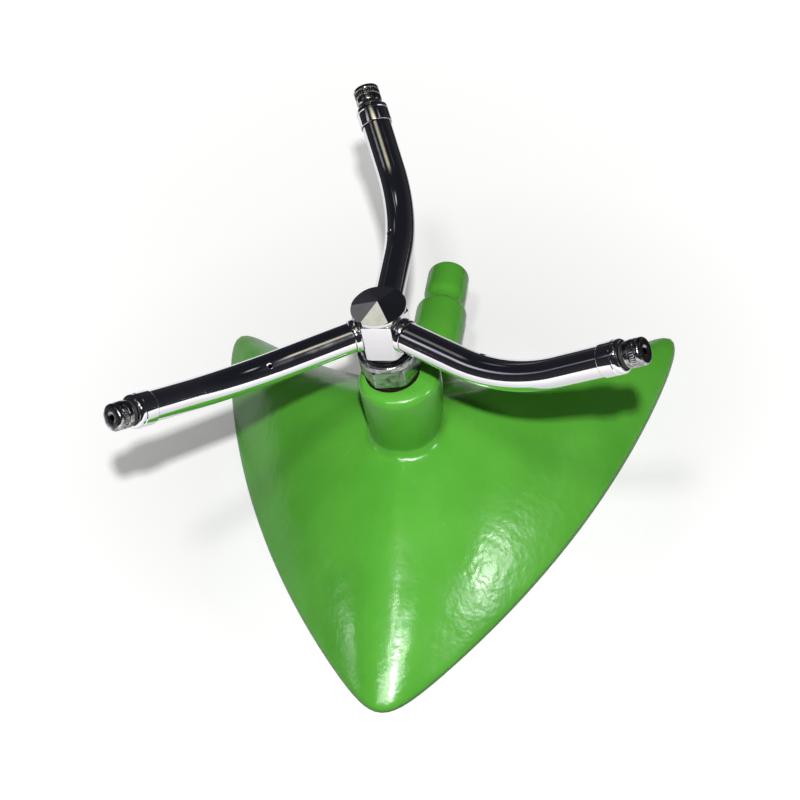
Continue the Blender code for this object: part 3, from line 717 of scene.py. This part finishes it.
spigot = turned("spigot", eased([
    (3.4, 6.1, 0), (4.7, 6.1, 0), (4.7, 13.2, 0), (4.9, 13.2, 0), (4.9, 16, 0), (3.4, 16, 0), (3.4, 6.1, 0),
]), 72, bored=True)
set_in_place(spigot, along_arm(0))
cut_or_join(tube, spigot, "UNION")
jet = turned("jet_hole", eased([(0.9, 2, 0), (0.9, 5.6, 0), (1.5, 6.1, 0), (1.5, 8, 0)]), 32)
hole_axes = Matrix((ACROSS, Vector((1, 0, 0)), LEAN)).transposed().to_4x4()
set_in_place(jet, Matrix.Translation(along_arm(JET_HOLE_AT).translation) @ hole_axes)
cut_or_join(tube, jet, "DIFFERENCE")
on_each_arm(tube, "arm_#", chrome, "rotor", "arm_tube_#")

ferrule = turned("ferrule", eased([
    (5.0, 2.4, 0), (6.2, 2.4, 0.3), (6.6, 1.8, 0.4), (6.6, 0.2, 0.15), (6.4, 0, 0.1), (5.0, 0, 0), (5.0, 2.4, 0),
]), 96, bored=True)
set_in_place(ferrule, along_arm(FERRULE_START))
on_each_arm(ferrule, "ferrule_#", chrome, "rotor", "arm_ferrule_#")


# Nozzles: a chromed plug with a collar is pressed into the end of each tube, and a grooved cap with the jet in its
# end screws onto it over a rubber ring. Each cap turns by hand.
rubber = Finish("seal_rubber_black")
dust = rubber.noise(1500, 3)
rubber.dress({
    "Base Color": rubber.ramp(dust, [(0.3, grey(0.012)), (0.7, grey(0.03))]),
    "Roughness": rubber.between(dust, 0.5, 0.7),
    "Normal": rubber.bump(dust, 0.02 * MM, 0.4),
})

nozzle_seat = along_arm(BEND_START + BEND_RADIUS * BEND_ANGLE + TUBE_STRAIGHT + 0.3 * MM)
collar = turned("collar", eased([
    (2.5, 14.7, 0), (3.9, 14.7, 0.3), (3.9, 8.5, 0), (5.0, 8.5, 0), (6.6, 8.5, 1.4), (6.6, 6.3, 0), (6.35, 6.05, 0),
    (6.35, 5.75, 0), (6.6, 5.5, 0), (6.6, 0, 0.35), (4.2, 0, 0), (4.2, -5, 0.3), (2.5, -5, 0), (2.5, 14.7, 0),
], 6), 96, bored=True)
set_in_place(collar, nozzle_seat)
on_each_arm(collar, "collar_#", chrome, "rotor", "nozzle_body_#")

seal = turned("seal", eased([
    (4.2, 9.3, 0), (4.2, 8.8, 0.3), (4.9, 8.8, 0.35), (4.9, 9.8, 0.35), (4.2, 9.8, 0.3), (4.2, 9.3, 0),
]), 72, bored=True)
set_in_place(seal, nozzle_seat)
on_each_arm(seal, "seal_#", rubber, "rotor", "nozzle_seal_#")

KNURL_TEETH = 36
KNURL_BOTTOM, KNURL_TOP, KNURL_INSIDE = 13.35 * MM, 15.05 * MM, 5.1 * MM
KNURL_DEPTH = 0.022

knurled = turned("end_cap", eased([
    (4.2, 10.1, 0), (4.8, 10.1, 0), (5.3, 10.7, 0.25), (5.3, 12.6, 0.1), (4.9, 12.9, 0), (4.9, 13.1, 0),
    (5.3, 13.4, 0.1), (5.3, 15.0, 0.1), (4.9, 15.3, 0), (4.9, 15.5, 0), (5.3, 15.8, 0.1), (5.29, 17.5, 1.2),
    (2.2, 17.5, 0.2), (1.3, 17.1, 0), (1.3, 16.1, 0), (4.2, 16.1, 0), (4.2, 10.1, 0),
], 5), KNURL_TEETH * 4, bored=True)
for point in knurled.data.vertices:
    if KNURL_BOTTOM < point.co.z < KNURL_TOP and math.hypot(point.co.x, point.co.y) > KNURL_INSIDE:
        tooth = KNURL_TEETH * math.atan2(point.co.y, point.co.x)
        shrink = 1 - KNURL_DEPTH * (1 + math.cos(tooth))
        point.co.x *= shrink
        point.co.y *= shrink
set_in_place(knurled, nozzle_seat)
on_each_arm(knurled, "end_cap_#", worn, "cap_#", "nozzle_cap_#")


# Studio: a sheet of white paper in a dim room, so that the chrome mirrors the paper below and a few soft lights
# above. Two lamps light the sprinkler, a small one over the camera and a softer one high up. Three panes show only
# as highlights in the casting's enamel.
FLOOR_PLACE = (0.2, 0.1, -0.05 * MM)
FLOOR_SIZE = 1.5
DARK_SPOT = (0.45, 0.45, 0)
DARK_REACH = 0.38
OPEN_REACH = 0.5

bpy.ops.object.select_all(action="DESELECT")
bpy.ops.mesh.primitive_plane_add(size=FLOOR_SIZE, location=FLOOR_PLACE)
bpy.ops.object.transform_apply(location=True, rotation=True, scale=True)
floor = bpy.context.active_object
floor.name = "floor"
paper = Finish("white_floor")
floor_rays = paper.nodes.new("ShaderNodeLightPath").outputs
# In the chrome the paper carries painted reflections: nearly black round DARK_SPOT towards the back right, and a pale
# grey glow elsewhere. To light bouncing off it the paper is a darker grey, which paints deeper shade on the
# sprinkler.
open_side = paper.between(paper.distance_from(DARK_SPOT), 0, 1, DARK_REACH, OPEN_REACH)
paper_colour = paper.ramp(paper.noise(3, 3), [(0.3, grey(0.88)), (0.7, grey(0.92))])
painted_chrome_reflection = paper.mixed(open_side, grey(0.03), (0.62, 0.61, 0.64))
paper_colour = paper.mixed(floor_rays["Is Glossy Ray"], paper_colour, painted_chrome_reflection)
glow = paper.ramp(paper.distance_from((0, 0, 0)), [(0.1, grey(0.13)), (0.2, grey(0.34)), (0.5, grey(0.68))])
painted_glow_in_chrome = paper.combined("MULTIPLY", floor_rays["Is Glossy Ray"], open_side)
paper.dress({
    "Base Color": paper.mixed(floor_rays["Is Diffuse Ray"], paper_colour, grey(0.25)),
    "Roughness": 0.9,
    "Specular IOR Level": 0,
    "Emission Color": glow,
    "Emission Strength": paper.combined("MAXIMUM", floor_rays["Is Camera Ray"], painted_glow_in_chrome),
})
floor.data.materials.append(paper.material)

AMBIENT = 0.02
ROOM_LIGHTS = [
    (-90, 80, 0.42, 0.22, (1.5, 1.4, 0.98)),
    (-31, 70, 0.2, 0.2, (0.15, 0.14, 0.17)),
    (17, 58, 0.12, 0.12, grey(0.6)),
    (-163, 40, 0.11, 0.3, (0.62, 0.6, 0.68)),
    (150, 59, 0.22, 0.08, grey(0.2)),
    (123, 20, 0.08, 0.3, grey(0.15)),
    (129, 70, 0.1, 0.1, (0.8, 0.8, 0.68)),
    (136, 43, 0.12, 0.12, grey(0.14)),
    (-40, 48, 0.35, 0.35, grey(0.05)),
]


def towards(azimuth, elevation):
    """The direction at an azimuth from +X towards +Y and an elevation, in degrees."""
    around, up = math.radians(azimuth), math.radians(elevation)
    return Vector((math.cos(around) * math.cos(up), math.sin(around) * math.cos(up), math.sin(up)))


room = bpy.data.worlds.new("studio_room")
bpy.context.scene.world = room
room.use_nodes = True
room_nodes, room_links = room.node_tree.nodes, room.node_tree.links
room_nodes.clear()
direction = room_nodes.new("ShaderNodeTexCoord").outputs["Generated"]


def with_light(behind, azimuth, elevation, half_width, half_height, colour):
    """The room's colours with one soft light added to them, which fades to nothing at its half width and height."""
    away = towards(azimuth, elevation)
    spot = room_nodes.new("ShaderNodeMapping")
    spot.vector_type = "TEXTURE"
    spot.inputs["Location"].default_value = away
    spot.inputs["Rotation"].default_value = away.to_track_quat("Z", "Y").to_euler()
    spot.inputs["Scale"].default_value = (half_width, half_height, 1)
    off_centre = room_nodes.new("ShaderNodeVectorMath")
    off_centre.operation = "LENGTH"
    fade = room_nodes.new("ShaderNodeMapRange")
    fade.interpolation_type = "SMOOTHSTEP"
    fade.inputs["To Min"].default_value, fade.inputs["To Max"].default_value = 1, 0
    added = room_nodes.new("ShaderNodeMix")
    added.data_type, added.blend_type, added.clamp_factor = "RGBA", "ADD", False
    room_links.new(direction, spot.inputs["Vector"])
    room_links.new(spot.outputs[0], off_centre.inputs[0])
    room_links.new(off_centre.outputs["Value"], fade.inputs["Value"])
    room_links.new(fade.outputs["Result"], added.inputs["Factor"])
    room_links.new(behind, added.inputs[6])
    added.inputs[7].default_value = (*colour, 1)
    return added.outputs[2]


upwards = room_nodes.new("ShaderNodeSeparateXYZ")
ceiling = room_nodes.new("ShaderNodeValToRGB")
low, high = ceiling.color_ramp.elements
low.position, low.color = 0, (0.030, 0.030, 0.036, 1)
high.position, high.color = 0.6, (0.012, 0.013, 0.018, 1)
room_links.new(direction, upwards.inputs[0])
room_links.new(upwards.outputs["Z"], ceiling.inputs["Fac"])
mirrored = ceiling.outputs["Color"]
for room_light in ROOM_LIGHTS:
    mirrored = with_light(mirrored, *room_light)
in_mirrors, ambient, backdrop = (room_nodes.new("ShaderNodeBackground") for _ in range(3))
room_links.new(mirrored, in_mirrors.inputs["Color"])
ambient.inputs["Color"].default_value, ambient.inputs["Strength"].default_value = (1, 1, 1, 1), AMBIENT
backdrop.inputs["Color"].default_value = (1, 1, 1, 1)
room_rays = room_nodes.new("ShaderNodeLightPath").outputs
room_colour = in_mirrors
for ray, background in (("Is Diffuse Ray", ambient), ("Is Camera Ray", backdrop)):
    chosen = room_nodes.new("ShaderNodeMixShader")
    room_links.new(room_rays[ray], chosen.inputs[0])
    room_links.new(room_colour.outputs[0], chosen.inputs[1])
    room_links.new(background.outputs[0], chosen.inputs[2])
    room_colour = chosen
room_links.new(room_colour.outputs[0], room_nodes.new("ShaderNodeOutputWorld").inputs["Surface"])


LAMP_TARGET = Vector((0, 0, 50 * MM))


def lamp(name, azimuth, elevation, distance, size, watts):
    """An area lamp aimed at the sprinkler."""
    away = towards(azimuth, elevation)
    data = bpy.data.lights.new(name, "AREA")
    data.shape, data.size, data.size_y, data.energy = "RECTANGLE", size[0], size[1], watts
    light = bpy.data.objects.new(name, data)
    light.location = LAMP_TARGET + distance * away
    light.rotation_euler = away.to_track_quat("Z", "Y").to_euler()
    bpy.context.scene.collection.objects.link(light)
    return light


lamp("front_lamp", -69.8, 52.9, 1.21, (0.035, 0.035), 13.4)
lamp("high_lamp", -89, 67, 2.5, (0.25, 0.25), 9.5)
panes = [
    lamp("front_window", -79.7, 55.5, 1.34, (1.4, 0.1), 19),
    lamp("right_window", -7.8, 22.8, 1.5, (0.1, 0.14), 5.5),
    lamp("left_window", -171.5, 13.1, 1.52, (0.16, 0.16), 1.2),
]
enamelled = bpy.data.collections.new("enamelled")
enamelled.objects.link(casting)
for pane in panes:
    pane.visible_diffuse = False
    pane.light_linking.receiver_collection = enamelled

# The camera's place, turn and lens were solved from the spin axis, the three arms and the rim in the photograph.
camera = bpy.data.objects.new("camera", bpy.data.cameras.new("camera"))
camera.data.lens = 104.9
camera.data.clip_end = 20
camera.location = (0.191018, -0.620276, 0.734129)
camera.rotation_euler = [math.radians(angle) for angle in (43.346, 8.441, 8.760)]
bpy.context.scene.collection.objects.link(camera)
bpy.context.scene.camera = camera
bpy.context.scene.view_settings.view_transform = "Standard"
